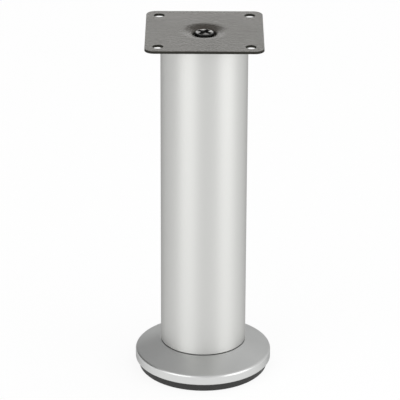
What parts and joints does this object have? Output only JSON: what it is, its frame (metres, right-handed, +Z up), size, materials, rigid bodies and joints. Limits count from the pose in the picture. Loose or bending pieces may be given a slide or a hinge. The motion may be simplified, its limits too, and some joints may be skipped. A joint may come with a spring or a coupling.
{
  "type": "furniture leg",
  "caption": "Round brushed tube furniture leg with a square screw-on mounting plate on top and a wide conical foot that screws in and out to level the furniture.",
  "frame": {"origin": "floor level under the middle of the foot, on the leg's axis", "axes": "+Z up the leg's axis; +X and +Y along the mounting plate's sides"},
  "size_m": [0.08, 0.08, 0.21],
  "materials": {
    "plate_paint": "dark satin coat with a fine grain, which looks grey where it mirrors a pale room",
    "screw_steel": "dark zinc plating, worn bright on the crown",
    "zinc_steel": "bright zinc plating",
    "insert_plastic": "moulded, matt",
    "brushed_tube": "satin, finely brushed around the tube",
    "satin_foot": "satin, fine blasted grain",
    "glide_plastic": "moulded, matt"
  },
  "bodies": {
    "leg": {"mounting_plate": "plate_paint", "plate_screw": "screw_steel", "top_nut": "zinc_steel", "top_insert": "insert_plastic", "leg_tube": "brushed_tube", "bottom_insert": "insert_plastic", "foot_nut": "zinc_steel"},
    "glide": {"foot_glide": "glide_plastic"},
    "foot": {"foot_cover": "satin_foot", "foot_bolt": "zinc_steel"}
  },
  "joints": [
    {"name": "foot_height", "type": "slide", "parent": "leg", "child": "glide", "axis": [0, 0, -1], "range_m": [0, 0.015]},
    {"name": "foot_turn", "type": "hinge", "parent": "glide", "child": "foot", "pos_m": [0, 0, 0.005], "axis": [0, 0, -1], "range_deg": [0, 3600]}
  ],
  "couplings": [
    {"joint": "foot_height", "follows": "foot_turn", "m_per_rad": 0.00023873}
  ]
}
